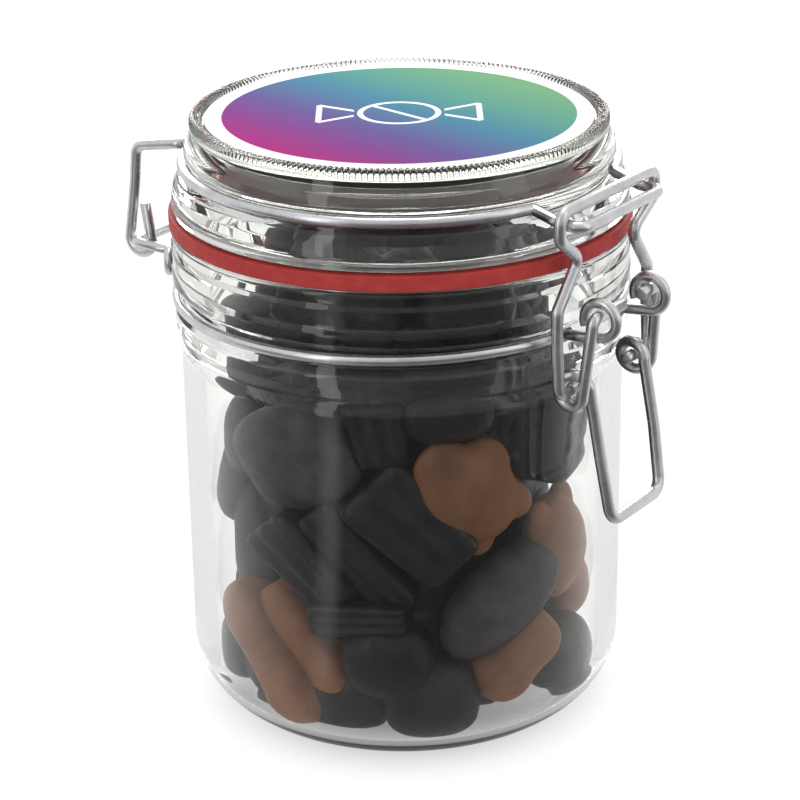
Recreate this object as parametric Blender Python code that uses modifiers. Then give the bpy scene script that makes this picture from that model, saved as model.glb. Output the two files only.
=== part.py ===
"""Clip-top glass jar filled with liquorice and fruit gums.

Frame: metres, +Z up, origin at the middle of the foot the jar stands on. The closure with
its lever is at -Y, the lid's hinge at +Y, and +X is to the right of the closure.
"""
import math
import random

import bmesh
import bpy
from mathutils import Matrix, Vector

MM = 0.001
GAP = 0.3 * MM
TURN_STEPS = 48

# Glass jar
BODY_RADIUS = 43.0 * MM
INNER_RADIUS = 38.8 * MM
MOUTH_RADIUS = 36.8 * MM
NECK_RADIUS = 44.2 * MM
FOOT_RADIUS = 29.1 * MM
FLOOR_HEIGHT = 4.0 * MM
INNER_CORNER = 6.5 * MM
SHOULDER_HEIGHT = 76.5 * MM
RIM_HEIGHT = 98.5 * MM

# Rubber ring and lid
RING_RADIUS = 44.5 * MM
RING_INNER_RADIUS = 37.9 * MM
RING_THICKNESS = 3.1 * MM
LID_FLANGE_RADIUS = 43.8 * MM
LID_BEAD_RADIUS = 39.75 * MM
LID_TOP_HEIGHT = 120.0 * MM
LABEL_RADIUS = 36.9 * MM
LABEL_THICKNESS = 0.4 * MM
LABEL_FACE_HEIGHT = 118.5 * MM

# Wires
NECK_WIRE = 2.0 * MM
LID_WIRE = 2.2 * MM
BAIL_WIRE = 2.3 * MM
LEVER_WIRE = 2.3 * MM
NECK_WIRE_RADIUS = 43.4 * MM
NECK_WIRE_HEIGHT = 85.3 * MM
NECK_WIRE_RISE = 0.7 * MM
LID_WIRE_RADIUS = 41.3 * MM
LID_WIRE_HEIGHT = 110.7 * MM

# Closure, measured outwards from the jar's axis, sideways and up
EYE_OUT = 50.3 * MM
EYE_HEIGHT = 90.2 * MM
EYE_SIDE = 8.8 * MM
EYE_RADIUS = 3.4 * MM
LEVER_PIVOT_RISE = 0.9 * MM
LEVER_PIN_SIDE = 11.3 * MM
LEVER_ARM_SIDE = 12.4 * MM
COIL_OUT = 46.0 * MM
COIL_HEIGHT = 76.4 * MM
COIL_RADIUS = 2.9 * MM
COIL_SHIFT = 2.7 * MM
BAIL_PIVOT_RISE = 0.2 * MM
HANDLE_OUT = 53.5 * MM
HANDLE_HEIGHT = 51.2 * MM
HANDLE_SIDE = 8.9 * MM
BAIL_TOP_SIDE = 16.45 * MM
BAIL_LEG_SIDE = 15.8 * MM
BAIL_WAIST_SIDE = 9.2 * MM
BAIL_TOP_OUT = 46.3 * MM
BAIL_TOP_HEIGHT = 111.6 * MM
TONGUE_SIDE = 13.9 * MM
TONGUE_OUT = 49.3 * MM
TONGUE_HEIGHT = 108.7 * MM

# Hinge behind the jar
HINGE_OUT = 54.2 * MM
HINGE_BAR_HEIGHT = 88.2 * MM
HINGE_BAR_SIDE = 16.4 * MM
HOOK_SIDE = 14.0 * MM
HOOK_RADIUS = 2.9 * MM
HOOK_HEIGHT = 88.3 * MM

# Sweets
HEAP_CORE_RADIUS = 29.0 * MM
HEAP_CORE_TOP = 90.0 * MM
HEAP_SEED = 11
# The shown side faces this bearing, turned from -Y towards -X
SHOWN_BEARING = 54.3


def clear_scene():
    """Start from nothing."""
    for item in list(bpy.data.objects):
        bpy.data.objects.remove(item, do_unlink=True)


def new_collection(name):
    """A collection under the scene."""
    collection = bpy.data.collections.new(name)
    bpy.context.scene.collection.children.link(collection)
    return collection


def finish(name, colour, roughness, metallic=0.0, alpha=1.0):
    """A plain Principled material."""
    material = bpy.data.materials.new(name)
    material.use_nodes = True
    shader = material.node_tree.nodes["Principled BSDF"]
    shader.inputs["Base Color"].default_value = (*colour, 1.0)
    shader.inputs["Roughness"].default_value = roughness
    shader.inputs["Metallic"].default_value = metallic
    shader.inputs["Alpha"].default_value = alpha
    return material


def arc(centre_out, centre_up, radius, start, stop, steps):
    """Points of an arc in the (outwards, up) plane, angles in degrees."""
    points = []
    for step in range(steps + 1):
        angle = math.radians(start + (stop - start) * step / steps)
        points.append((centre_out + radius * math.cos(angle), centre_up + radius * math.sin(angle)))
    return points


def turned(name, profile, material, collection):
    """Turn an (outwards, up) profile, which runs down its outer side, round the jar's axis."""
    mesh = bpy.data.meshes.new(name)
    verts = [(out, 0.0, up) for out, up in profile]
    on_axis = profile[0][0] == 0.0
    edges = [(i, i + 1) for i in range(len(verts) - 1)]
    if not on_axis:
        edges.append((len(verts) - 1, 0))
    mesh.from_pydata(verts, edges, [])
    mesh.materials.append(material)
    item = bpy.data.objects.new(name, mesh)
    collection.objects.link(item)
    screw = item.modifiers.new("turn", "SCREW")
    screw.axis = "Z"
    screw.steps = TURN_STEPS
    screw.render_steps = TURN_STEPS
    screw.use_merge_vertices = True
    screw.merge_threshold = 0.00005
    screw.use_smooth_shade = True
    return item


def wire(name, path, thickness, material, collection):
    """A round wire along a list of points."""
    curve = bpy.data.curves.new(name, "CURVE")
    curve.dimensions = "3D"
    curve.bevel_depth = thickness / 2
    curve.bevel_resolution = 2
    curve.use_fill_caps = True
    spline = curve.splines.new("POLY")
    spline.points.add(len(path) - 1)
    for point, place in zip(spline.points, path):
        point.co = (*place, 1.0)
    spline.use_smooth = True
    curve.materials.append(material)
    item = bpy.data.objects.new(name, curve)
    collection.objects.link(item)
    return item


def at(out, side, up):
    """A point given outwards towards the closure, sideways and up."""
    return Vector((side, -out, up))


def round_arc(radius, up, start, stop, steps):
    """Points round the jar, bearings in degrees from the closure towards +X."""
    points = []
    for step in range(steps + 1):
        bearing = math.radians(start + (stop - start) * step / steps)
        points.append(at(radius * math.cos(bearing), radius * math.sin(bearing), up))
    return points


def upright_arc(centre_out, side, centre_up, radius, start, stop, steps, shift=0.0):
    """Points of a loop in an upright plane, which moves sideways by shift on its way."""
    ring = arc(centre_out, centre_up, radius, start, stop, steps)
    return [at(out, side + shift * i / steps, up) for i, (out, up) in enumerate(ring)]


def bent(points, radius, least_turn=18.0, steps=4):
    """Round each corner of a path that turns more than least_turn degrees."""
    path = [points[0]]
    for before, corner, after in zip(points, points[1:], points[2:]):
        back = (before - corner).normalized()
        ahead = (after - corner).normalized()
        turn = math.pi - back.angle(ahead)
        if math.degrees(turn) < least_turn:
            path.append(corner)
            continue
        reach = radius * math.tan(turn / 2)
        reach = min(reach, 0.48 * (before - corner).length, 0.48 * (after - corner).length)
        bend_radius = reach / math.tan(turn / 2)
        centre = corner + (back + ahead).normalized() * math.hypot(reach, bend_radius)
        first = corner + back * reach - centre
        last = corner + ahead * reach - centre
        for step in range(steps + 1):
            share = turn * step / steps
            swung = first * math.sin(turn - share) + last * math.sin(share)
            path.append(centre + swung / math.sin(turn))
    path.append(points[-1])
    return path


def mirrored(path):
    """The same path on the other side, run backwards."""
    return [Vector((-point.x, point.y, point.z)) for point in reversed(path)]


def jar_profile():
    """The jar's section, from the middle of its floor up the inside and down the outside."""
    inner_corner = arc(INNER_RADIUS - INNER_CORNER, FLOOR_HEIGHT + INNER_CORNER, INNER_CORNER, -90, 0, 3)
    foot_corner = arc(FOOT_RADIUS, BODY_RADIUS - FOOT_RADIUS, BODY_RADIUS - FOOT_RADIUS, 0, -90, 5)
    groove = NECK_WIRE_RADIUS - NECK_WIRE / 2 - GAP
    return [
        (0.0, FLOOR_HEIGHT),
        *inner_corner,
        (INNER_RADIUS, 73.5 * MM),
        (MOUTH_RADIUS, 80.5 * MM),
        (MOUTH_RADIUS, RIM_HEIGHT - 0.8 * MM),
        (MOUTH_RADIUS + 0.8 * MM, RIM_HEIGHT),
        (NECK_RADIUS - 0.9 * MM, RIM_HEIGHT),
        (NECK_RADIUS - 0.1 * MM, RIM_HEIGHT - 0.9 * MM),
        (NECK_RADIUS - 0.5 * MM, 95.9 * MM),
        (NECK_RADIUS, 95.0 * MM),
        (NECK_RADIUS - 0.2 * MM, 91.4 * MM),
        (NECK_RADIUS + 0.1 * MM, 90.4 * MM),
        (NECK_RADIUS, 88.3 * MM),
        (groove, 86.8 * MM),
        (groove, 83.5 * MM),
        (BODY_RADIUS + 0.9 * MM, 82.0 * MM),
        (BODY_RADIUS + 0.9 * MM, 80.0 * MM),
        (BODY_RADIUS, SHOULDER_HEIGHT),
        *foot_corner,
        (0.0, 0.0),
    ]


def lid_profile():
    """The lid's section, from the middle of its top over the rim, down the flange and up its hollow."""
    flange = RIM_HEIGHT + RING_THICKNESS + 2 * GAP
    groove = arc(LID_WIRE_RADIUS, LID_WIRE_HEIGHT, LID_WIRE / 2 + GAP, 105, 240, 3)
    return [
        (0.0, LABEL_FACE_HEIGHT),
        (LABEL_RADIUS + 0.4 * MM, LABEL_FACE_HEIGHT),
        (LABEL_RADIUS + 0.9 * MM, LID_TOP_HEIGHT - 0.2 * MM),
        (LID_BEAD_RADIUS - 0.8 * MM, LID_TOP_HEIGHT),
        (LID_BEAD_RADIUS - 0.1 * MM, 119.4 * MM),
        (LID_BEAD_RADIUS, 118.6 * MM),
        (39.5 * MM, 117.7 * MM),
        (40.8 * MM, 115.0 * MM),
        (41.2 * MM, 112.6 * MM),
        *groove,
        (41.4 * MM, 109.2 * MM),
        (42.4 * MM, 108.7 * MM),
        (LID_FLANGE_RADIUS - 0.5 * MM, 107.0 * MM),
        (LID_FLANGE_RADIUS - 0.1 * MM, 104.5 * MM),
        (LID_FLANGE_RADIUS, flange + 0.5 * MM),
        (LID_FLANGE_RADIUS - 0.5 * MM, flange),
        (36.4 * MM, flange),
        (35.9 * MM, 106.5 * MM),
        (34.6 * MM, 111.0 * MM),
        (31.0 * MM, 113.2 * MM),
        (0.0, 113.6 * MM),
    ]


def ring_profile():
    """The rubber ring's section: flat faces and a slightly rounded edge."""
    low = RIM_HEIGHT + GAP
    high = low + RING_THICKNESS
    edge = 0.35 * MM
    return [
        (RING_RADIUS - edge, high),
        (RING_RADIUS, high - edge),
        (RING_RADIUS, low + edge),
        (RING_RADIUS - edge, low),
        (RING_INNER_RADIUS, low),
        (RING_INNER_RADIUS, high),
    ]


def label_profile():
    """A thin disc lying inside the lid's beaded rim."""
    low = LABEL_FACE_HEIGHT + GAP
    high = low + LABEL_THICKNESS
    return [(0.0, high), (LABEL_RADIUS, high), (LABEL_RADIUS, low), (0.0, low)]


def neck_wire_path():
    """One wire in the neck's groove, higher in front, bent out into two eyes and a hinge bar."""
    rear = math.degrees(math.pi - math.asin(HINGE_BAR_SIDE / NECK_WIRE_RADIUS))
    front = math.degrees(math.asin(EYE_SIDE / NECK_WIRE_RADIUS))
    half = [at(-HINGE_OUT, 0.0, HINGE_BAR_HEIGHT), at(-HINGE_OUT, HINGE_BAR_SIDE, HINGE_BAR_HEIGHT)]
    half = bent(half + [at(-45.4 * MM, HINGE_BAR_SIDE, HINGE_BAR_HEIGHT)], 1.6 * MM)
    kink = 2.1 * MM
    for step in range(5):
        angle = math.radians(90 - 45 * step)
        swing = kink * math.cos(angle)
        half.append(at(-44.9 * MM + swing * 0.58, HINGE_BAR_SIDE + swing * 0.81,
                       HINGE_BAR_HEIGHT - kink + kink * math.sin(angle)))
    groove = round_arc(NECK_WIRE_RADIUS, NECK_WIRE_HEIGHT, rear, front, 17)
    for point in groove:
        point.z -= NECK_WIRE_RISE * point.y / NECK_WIRE_RADIUS
    front_end = [at(46.6 * MM, EYE_SIDE, 86.4 * MM)]
    front_end += upright_arc(EYE_OUT, EYE_SIDE, EYE_HEIGHT, EYE_RADIUS, -90, -60, 1)
    half += bent(groove + front_end, 1.6 * MM)[:-2]
    half += upright_arc(EYE_OUT, EYE_SIDE, EYE_HEIGHT, EYE_RADIUS, -90, 205, 12)
    return mirrored(half)[:-1] + half


def lid_wire_path():
    """One wire round the lid, with a tongue in front and a hook at each end round the hinge bar."""
    rear = math.degrees(math.pi - math.asin(HOOK_SIDE / LID_WIRE_RADIUS))
    front = math.degrees(math.asin(TONGUE_SIDE / LID_WIRE_RADIUS))
    ahead = [at(TONGUE_OUT, 0.0, TONGUE_HEIGHT), at(TONGUE_OUT, TONGUE_SIDE, TONGUE_HEIGHT)]
    ahead.append(at(44.5 * MM, TONGUE_SIDE, 109.0 * MM))
    ahead += round_arc(LID_WIRE_RADIUS, LID_WIRE_HEIGHT, front, rear, 17)
    ahead.append(at(-45.0 * MM, HOOK_SIDE, 109.4 * MM))
    ahead.append(at(-54.2 * MM, HOOK_SIDE, 107.7 * MM))
    ahead.append(at(-55.1 * MM, HOOK_SIDE, 100.0 * MM))
    half = bent(ahead, 2.6 * MM)
    half += upright_arc(-HINGE_OUT, HOOK_SIDE, HOOK_HEIGHT, HOOK_RADIUS, 180, 350, 8)
    half.append(at(-52.7 * MM, HOOK_SIDE, 96.0 * MM))
    return mirrored(half)[:-1] + half


def bail_path():
    """The bail: a bar over the tongue, waisted legs, and pins turned in through the lever's coils."""
    pivot = COIL_HEIGHT + BAIL_PIVOT_RISE
    corners = [
        at(BAIL_TOP_OUT, 0.0, BAIL_TOP_HEIGHT),
        at(BAIL_TOP_OUT, BAIL_TOP_SIDE, BAIL_TOP_HEIGHT),
        at(46.2 * MM, BAIL_TOP_SIDE, 106.6 * MM),
        at(45.8 * MM, BAIL_WAIST_SIDE, 101.4 * MM),
        at(45.5 * MM, BAIL_LEG_SIDE, 93.0 * MM),
        at(45.5 * MM, BAIL_LEG_SIDE, 86.0 * MM),
        at(COIL_OUT, BAIL_LEG_SIDE, pivot),
        at(COIL_OUT, 7.6 * MM, pivot),
    ]
    half = bent(corners, 2.3 * MM)
    return mirrored(half)[:-1] + half


def lever_path():
    """The lever: pins through the eyes, an arm and a coil on each side, and the handle below."""
    sides = []
    for pin_end in (1.2 * MM, 5.2 * MM):
        handle = [
            at(HANDLE_OUT, 0.0, HANDLE_HEIGHT),
            at(HANDLE_OUT, HANDLE_SIDE, HANDLE_HEIGHT),
            at(51.3 * MM, LEVER_ARM_SIDE - COIL_SHIFT, 64.0 * MM),
        ]
        half = bent(handle, 3.0 * MM)
        coil_side = LEVER_ARM_SIDE - COIL_SHIFT
        half += upright_arc(COIL_OUT, coil_side, COIL_HEIGHT, COIL_RADIUS, 0, 360, 14, COIL_SHIFT)
        pivot = EYE_HEIGHT + LEVER_PIVOT_RISE
        arm = [
            half[-1],
            at(EYE_OUT, LEVER_PIN_SIDE, pivot),
            at(EYE_OUT, pin_end, pivot),
        ]
        half += bent(arm, 1.5 * MM)[1:]
        sides.append(half)
    return mirrored(sides[0])[:-1] + sides[1]


def inner_limit(up):
    """How far from the axis a sweet may reach at a height inside the jar."""
    reach = INNER_RADIUS
    corner_top = FLOOR_HEIGHT + INNER_CORNER
    if up < corner_top:
        drop = min(corner_top - up, INNER_CORNER)
        flat = INNER_CORNER * math.cos(math.pi / 12)
        reach = INNER_RADIUS - INNER_CORNER + math.sqrt(max(flat ** 2 - drop ** 2, 0.0))
    elif up > 73.5 * MM:
        share = min((up - 73.5 * MM) / (7.0 * MM), 1.0)
        reach = INNER_RADIUS + (MOUTH_RADIUS - INNER_RADIUS) * share
    return reach * math.cos(math.pi / TURN_STEPS) - GAP


def sweet_mesh(kind, size, plain=False):
    """A sweet of few sides about its own middle: length along X, width along Z, thickness along Y."""
    length, width, thick = (value * MM / 2 for value in size)
    mesh = bmesh.new()
    if kind in ("round", "oval", "lump"):
        if plain:
            bmesh.ops.create_icosphere(mesh, subdivisions=1, radius=1.1)
        else:
            bmesh.ops.create_uvsphere(mesh, u_segments=12, v_segments=7, radius=1.04)
        for vert in mesh.verts:
            if kind == "lump":
                vert.co *= 1.0 + 0.08 * math.sin(5.0 * vert.co.x + 3.0 * vert.co.z)
            vert.co = Vector((vert.co.x * length, vert.co.y * thick, vert.co.z * width))
    elif kind == "bear":
        lobes = ((0.0, 0.0, 0.62, 0.80), (0.66, 0.0, 0.36, 0.62), (-0.58, 0.50, 0.34, 0.42),
                 (-0.58, -0.50, 0.34, 0.42))
        for x, z, half_length, half_width in lobes:
            made = bmesh.ops.create_icosphere(mesh, subdivisions=1, radius=1.0)["verts"]
            for vert in made:
                along = (x + vert.co.x * half_length) * length
                out = vert.co.y * thick * (0.7 + half_length / 2)
                vert.co = Vector((along, out, (z + vert.co.z * half_width) * width))
    else:
        bmesh.ops.create_cube(mesh, size=2.0)
        bmesh.ops.scale(mesh, vec=(length, thick, width), verts=mesh.verts)
        round_off = (0.62 if kind == "bar" else 0.34) * min(width, thick)
        bmesh.ops.bevel(
            mesh, geom=mesh.edges[:], offset=round_off, segments=1, affect="EDGES", profile=0.5)
    return mesh


def seat(mesh, bearing, height, tilt, lean, inset=0.0):
    """Turn a sweet into place and push it inwards until it clears the glass by an inset."""
    outwards = math.radians(bearing)
    turn = Matrix.Rotation(outwards, 4, "Z") @ Matrix.Rotation(math.radians(lean), 4, "X")
    turn = turn @ Matrix.Rotation(math.radians(tilt), 4, "Y")
    bmesh.ops.transform(mesh, matrix=turn, verts=mesh.verts)
    heading = Vector((math.sin(outwards), -math.cos(outwards), 0.0))
    low = FLOOR_HEIGHT + GAP - min(vert.co.z for vert in mesh.verts)
    place = heading * 34.0 * MM + Vector((0.0, 0.0, max(height * MM, low)))
    points = [vert.co for vert in mesh.verts]
    for edge in mesh.edges:
        first, last = (vert.co for vert in edge.verts)
        points += [first.lerp(last, share) for share in (0.25, 0.5, 0.75)]
    for _ in range(60):
        over = inset * MM
        over += max(math.hypot(p.x + place.x, p.y + place.y) - inner_limit(p.z + place.z) for p in points)
        if abs(over) < 0.02 * MM:
            break
        place -= heading * over
    bmesh.ops.translate(mesh, vec=place, verts=mesh.verts)


# Sweets of the shown side: kind, size, bearing right of the shown middle, height, tilt, lean,
# and distance kept from the glass
SHOWN_SWEETS = (
    ("bar", (32, 11.5, 11), -51, 16, 48, 4, 0),
    ("bar", (28, 15, 10), -41, 19, 50, 4, 4),
    ("round", (17.5, 15.5, 14), -6, 21, 0, 0, 0),
    ("round", (18.5, 17, 15), 8, 13, 0, -12, 0),
    ("bar", (20, 12, 12), 37, 19, -38, 0, 0),
    ("round", (16, 14.5, 13), 65, 13, -20, 0, 0),
    ("oval", (28, 16, 12), 32, 31, -40, 6, 0),
    ("bear", (27, 19, 12), 56, 39, 78, 0, 0),
    ("bear", (19, 15, 12), 80, 24, 70, 0, 1),
    ("bear", (27, 22, 13), 20, 55, 230, 0, 0),
    ("brick", (24, 14.5, 12), 2, 49, 46, -10, 0),
    ("brick", (21, 11, 10), -33, 40, 46, 6, 0),
    ("brick", (26, 9, 10), -16, 41, 48, 0, 3),
    ("brick", (18, 6.5, 9), -15, 30, -4, 0, 1),
    ("lump", (24, 21, 14), -37, 61, -30, 8, 0),
    ("brick", (14, 10.5, 10), -8, 68, 82, 0, 2),
    ("round", (24, 13, 12), -27, 10, 0, 0, 4),
    ("brick", (20, 15, 12), 67, 59, 10, 0, 1),
    ("lump", (18, 13, 12), 14, 72, 0, 0, 1),
    ("round", (17, 15, 12), -80, 57, 60, 0, 3),
    ("lump", (22, 14, 12), -79, 35, 50, 0, 4),
    ("round", (15, 14, 12), -78, 12, 0, 0, 0),
    ("round", (17, 15, 12), -60, 9, 40, 0, 3),
    ("brick", (21, 15, 12), 44, 76, 10, 0, 1),
    ("round", (17, 15, 13), 86, 60, 0, 0, 2),
    ("brick", (22, 14, 12), -48, 84, -12, 0, 1),
    ("round", (18, 14, 13), 22, 91, 6, 0, 1),
    ("brick", (22, 15, 12), -20, 93, 20, 0, 1),
)
HIDDEN_KINDS = (
    ("lump", (23, 18, 13)),
    ("brick", (21, 15, 12)),
    ("round", (18, 15, 13)),
    ("bear", (24, 16, 12)),
    ("oval", (25, 18, 12)),
    ("bar", (24, 14, 12)),
)


def heap_sweets():
    """Meshes of all the sweets that show through the glass or lie on top of the heap."""
    draw = random.Random(HEAP_SEED)
    sweets = []
    for kind, size, right, height, tilt, lean, inset in SHOWN_SWEETS:
        mesh = sweet_mesh(kind, size)
        seat(mesh, right - SHOWN_BEARING, height, tilt, lean, inset)
        sweets.append(mesh)
    for layer in range(4):
        height = 18.0 + 23.0 * layer
        for step in range(4 if layer < 3 else 3):
            right = 118.0 + 42.0 * step + 14.0 * (layer % 2) + draw.uniform(-3.0, 3.0)
            kind, size = draw.choice(HIDDEN_KINDS)
            mesh = sweet_mesh(kind, size, plain=True)
            up = height + draw.uniform(-2.5, 2.5)
            seat(mesh, right - SHOWN_BEARING, up, draw.uniform(-60, 60), 0.0)
            sweets.append(mesh)
    for step in range(5):
        kind, size = HIDDEN_KINDS[step % len(HIDDEN_KINDS)]
        mesh = sweet_mesh(kind, size, plain=True)
        spread = 0.0 if step == 0 else 19.0 * MM
        bearing = math.radians(90.0 * step + draw.uniform(-8, 8))
        lie = math.radians(90 + draw.uniform(-18, 18))
        turn = Matrix.Rotation(bearing, 4, "Z") @ Matrix.Rotation(lie, 4, "X")
        bmesh.ops.transform(mesh, matrix=turn, verts=mesh.verts)
        rise = (94.0 if step else 92.5) * MM
        place = Vector((spread * math.sin(bearing), -spread * math.cos(bearing), rise))
        bmesh.ops.translate(mesh, vec=place, verts=mesh.verts)
        sweets.append(mesh)
    return sweets


def keep_outer_shell(mesh):
    """Drop loose scraps and fill sealed hollows: only the largest closed shell stays."""
    bmesh.ops.remove_doubles(mesh, verts=mesh.verts, dist=0.000002)
    left = set(mesh.faces)
    shells = []
    while left:
        queue = [left.pop()]
        shell = list(queue)
        while queue:
            face = queue.pop()
            for edge in face.edges:
                for other in edge.link_faces:
                    if other in left:
                        left.remove(other)
                        queue.append(other)
                        shell.append(other)
        shells.append(shell)
    shells.sort(key=len)
    scraps = [face for shell in shells[:-1] for face in shell]
    bmesh.ops.delete(mesh, geom=scraps, context="FACES")


def candy_heap(material, collection):
    """One solid: a plain core with the sweets that show joined onto it."""
    parts = new_collection("heap_pieces")
    core = bmesh.new()
    height = HEAP_CORE_TOP - FLOOR_HEIGHT - 3.0 * MM
    bmesh.ops.create_cone(core, cap_ends=True, segments=16, radius1=HEAP_CORE_RADIUS - 3.0 * MM,
                          radius2=HEAP_CORE_RADIUS, depth=height)
    bmesh.ops.translate(core, vec=(0, 0, FLOOR_HEIGHT + 3.0 * MM + height / 2), verts=core.verts)
    mesh = bpy.data.meshes.new("candy_heap")
    core.to_mesh(mesh)
    mesh.materials.append(material)
    item = bpy.data.objects.new("candy_heap", mesh)
    collection.objects.link(item)
    for number, sweet in enumerate(heap_sweets()):
        piece_mesh = bpy.data.meshes.new(f"heap_piece_{number}")
        sweet.to_mesh(piece_mesh)
        piece = bpy.data.objects.new(f"heap_piece_{number}", piece_mesh)
        piece.hide_render = True
        piece.display_type = "WIRE"
        parts.objects.link(piece)
    join = item.modifiers.new("join", "BOOLEAN")
    join.operation = "UNION"
    join.operand_type = "COLLECTION"
    join.collection = parts
    join.use_self = True
    bpy.context.view_layer.update()
    joined = bpy.data.meshes.new_from_object(item.evaluated_get(bpy.context.evaluated_depsgraph_get()))
    item.modifiers.clear()
    for piece in list(parts.objects):
        bpy.data.objects.remove(piece, do_unlink=True)
    bpy.data.collections.remove(parts)
    work = bmesh.new()
    work.from_mesh(joined)
    keep_outer_shell(work)
    bmesh.ops.triangulate(work, faces=work.faces)
    work.to_mesh(joined)
    joined.name = "candy_heap"
    joined.materials.clear()
    joined.materials.append(material)
    item.data = joined
    return item


def lever_and_bail(steel, collection):
    """The lever turns about its pins in the eyes, and the bail about its pins in the lever's coils."""
    pivot = at(EYE_OUT, 0.0, EYE_HEIGHT + LEVER_PIVOT_RISE)
    bail_pivot = at(COIL_OUT, 0.0, COIL_HEIGHT + BAIL_PIVOT_RISE)
    lever = wire("lever", [point - pivot for point in lever_path()], LEVER_WIRE, steel, collection)
    lever.location = pivot
    bail = wire("bail", [point - bail_pivot for point in bail_path()], BAIL_WIRE, steel, collection)
    bail.parent = lever
    bail.location = bail_pivot - pivot
    return lever, bail


def build():
    """Make every piece of the jar."""
    clear_scene()
    parts = new_collection("candy_jar")
    glass = finish("clear_glass", (0.90, 0.93, 0.90), 0.03, alpha=0.35)
    rubber = finish("red_rubber", (0.42, 0.03, 0.025), 0.55)
    steel = finish("satin_steel", (0.56, 0.57, 0.58), 0.28, metallic=1.0)
    paper = finish("printed_label", (0.42, 0.25, 0.45), 0.5)
    liquorice = finish("liquorice", (0.035, 0.030, 0.032), 0.55)
    turned("jar", jar_profile(), glass, parts)
    turned("lid", lid_profile(), glass, parts)
    turned("rubber_ring", ring_profile(), rubber, parts)
    turned("label", label_profile(), paper, parts)
    wire("neck_wire", neck_wire_path(), NECK_WIRE, steel, parts)
    wire("lid_wire", lid_wire_path(), LID_WIRE, steel, parts)
    lever_and_bail(steel, parts)
    candy_heap(liquorice, parts)


build()
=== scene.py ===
import math
import random

import bpy
import numpy as np
from mathutils import Matrix


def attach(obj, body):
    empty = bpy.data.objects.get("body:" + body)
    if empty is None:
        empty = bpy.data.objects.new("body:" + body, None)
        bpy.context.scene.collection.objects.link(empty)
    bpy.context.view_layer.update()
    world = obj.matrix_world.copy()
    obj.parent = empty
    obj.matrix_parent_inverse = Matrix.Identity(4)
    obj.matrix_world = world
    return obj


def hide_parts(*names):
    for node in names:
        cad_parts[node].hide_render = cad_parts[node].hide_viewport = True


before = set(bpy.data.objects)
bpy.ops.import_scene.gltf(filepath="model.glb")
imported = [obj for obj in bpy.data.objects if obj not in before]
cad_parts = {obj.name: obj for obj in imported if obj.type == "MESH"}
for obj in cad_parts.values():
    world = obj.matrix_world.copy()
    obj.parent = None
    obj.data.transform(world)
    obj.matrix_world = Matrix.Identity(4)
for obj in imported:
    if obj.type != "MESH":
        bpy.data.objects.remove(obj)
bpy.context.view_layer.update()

# Jar
# The jar is a thick pressed-glass pot with a rounded foot, a groove for the neck wire and a band
# with fine ridges up to its flat rim. It is one closed glass wall with air inside. Shapes are worked
# out in millimetres, and a mesh takes them times MM.
MM = 0.001
FLOOR_UP, INNER, CORNER = 4.0, 38.8, 6.5
SHOULDER_UP, MOUTH_UP, MOUTH, RIM_UP = 73.5, 80.5, 36.8, 98.5
BODY, NECK_GROOVE, FOOT_UP = 43.0, 42.15, 0.02


def corner_arc(before, corner, after, radius, steps, least_turn, side_share):
    """Arc of a radius that touches both sides of a corner, made by turning its first spoke into its
    last. It is smaller where it would take more than a share of a side, and a corner that turns by
    less than least_turn degrees stays as it is."""
    back, ahead = before - corner, after - corner
    reach_back, reach_ahead = np.linalg.norm(back), np.linalg.norm(ahead)
    back, ahead = back / reach_back, ahead / reach_ahead
    half = math.acos(np.clip(back @ ahead, -1, 1)) / 2
    turn = math.pi - 2 * half
    if radius <= 0 or math.degrees(turn) < least_turn:
        return [corner]
    reach = min(radius / math.tan(half), side_share * reach_back, side_share * reach_ahead)
    to_middle = reach * math.tan(half) / math.sin(half)
    middle = corner + (back + ahead) / np.linalg.norm(back + ahead) * to_middle
    first, last = corner + back * reach - middle, corner + ahead * reach - middle
    share = np.linspace(0, turn, steps + 1)[:, None]
    return list(middle + (first * np.sin(turn - share) + last * np.sin(share)) / math.sin(turn))


def rounded(corners, steps):
    """Outline through (out, up, fillet) corners in millimetres, with an arc at each fillet."""
    points = np.array([corner[:2] for corner in corners], float)
    outline = [points[0]]
    for before, point, after, corner in zip(points, points[1:], points[2:], corners[1:]):
        outline += corner_arc(before, point, after, corner[2], steps, least_turn=1.24, side_share=0.86)
    return np.array(outline + [points[-1]])


def grid_faces(rows, columns, capped):
    """Faces over a grid of vertices whose rows are rings. A capped grid is closed by fans from two
    more vertices, one before its first row and one after its last; any other closes on itself."""
    i, j = np.meshgrid(np.arange(rows - 1 if capped else rows), np.arange(columns), indexing="ij")
    i2, j2 = (i + 1) % rows, (j + 1) % columns
    faces = np.stack([i * columns + j, i2 * columns + j, i2 * columns + j2, i * columns + j2], -1)
    faces = faces.reshape(-1, 4)
    if not capped:
        return faces
    k, k2 = np.arange(columns), (np.arange(columns) + 1) % columns
    start, stop = np.full(columns, rows * columns), np.full(columns, rows * columns + 1)
    last_row = (rows - 1) * columns
    first_fan = np.stack([start, k, k2, k2], -1)
    last_fan = np.stack([last_row + k, stop, stop, last_row + k2], -1)
    return np.vstack([faces, first_fan, last_fan])


def mesh_object(name, verts, faces, material):
    """A smooth mesh object with its faces turned outwards, by the sign of the volume that they
    close. A face that names one corner twice is a triangle."""
    a, b, c, d = (verts[faces[:, k]] for k in range(4))
    volume = np.einsum("ij,ij->", a, np.cross(b, c)) + np.einsum("ij,ij->", a, np.cross(c, d))
    if volume < 0:
        faces = faces[:, ::-1]
    mesh = bpy.data.meshes.new(name)
    mesh.from_pydata(verts.tolist(), [], [tuple(dict.fromkeys(face)) for face in faces.tolist()])
    mesh.polygons.foreach_set("use_smooth", np.full(len(mesh.polygons), True))
    mesh.materials.append(material)
    item = bpy.data.objects.new(name, mesh)
    bpy.context.scene.collection.objects.link(item)
    return item


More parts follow.
